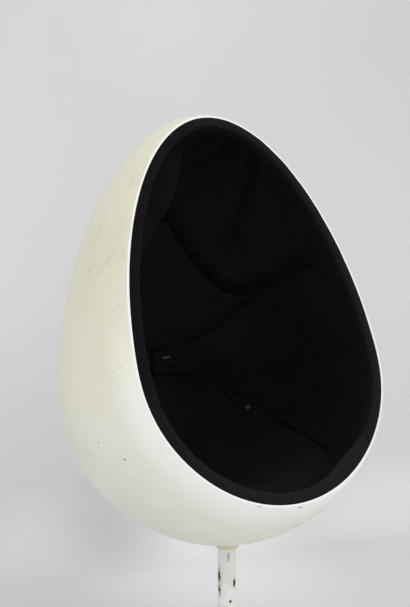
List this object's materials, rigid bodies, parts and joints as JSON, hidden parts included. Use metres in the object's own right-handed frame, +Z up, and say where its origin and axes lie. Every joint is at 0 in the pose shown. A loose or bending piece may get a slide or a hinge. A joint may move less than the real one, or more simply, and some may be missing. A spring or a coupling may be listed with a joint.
{
  "type": "pod chair",
  "caption": "Egg-shaped fibreglass pod chair with a padded black cloth interior, turning on a single round steel post with a flat disc base.",
  "frame": {"origin": "centre of the base on the floor, on the post's axis", "axes": "+Z up along the post, the opening faces -Y, +X to the right seen from the front"},
  "size_m": [0.8501, 0.7718, 1.4656],
  "materials": {
    "gelcoat": "gloss gelcoat, aged cream",
    "white_paint": "white enamel, chipped",
    "steel": "turned steel",
    "zinc": "zinc plated",
    "nylon": "natural nylon",
    "rubber": "matt",
    "resin": "cured resin and glass",
    "plywood": "birch plywood",
    "tack_strip": "pressed fibre strip",
    "foam": "polyurethane foam",
    "cloth": "black woven cloth"
  },
  "bodies": {
    "pedestal": {"base_plate": "white_paint", "base_pad": "rubber", "foot_collar": "white_paint", "post_tube": "white_paint", "post_foot_plug": "steel", "foot_washer": "zinc", "foot_bolt": "zinc", "lower_bush": "nylon", "upper_bush": "nylon", "thrust_washer": "steel", "lock_screw": "zinc"},
    "pod": {"shell": "gelcoat", "shell_boss": "gelcoat", "swivel_spindle": "steel", "resin_bed": "resin", "mounting_board": "plywood", "mount_plate": "steel", "mount_washers": "zinc", "mount_bolts": "zinc", "tee_nuts": "zinc", "tack_strip": "tack_strip", "rim_band": "cloth", "seat_bed": "foam", "seat_cushion": "cloth", "side_pad_left": "cloth", "side_pad_right": "cloth", "back_cushion": "cloth", "upper_back_panel": "cloth", "upper_side_panel_left": "cloth", "upper_side_panel_right": "cloth", "wing_pad_left": "cloth", "wing_pad_right": "cloth"}
  },
  "joints": [
    {"name": "pod_swivel", "type": "hinge", "parent": "pedestal", "child": "pod", "pos_m": [0, 0, 0.332], "axis": [0, 0, 1], "continuous": true}
  ]
}
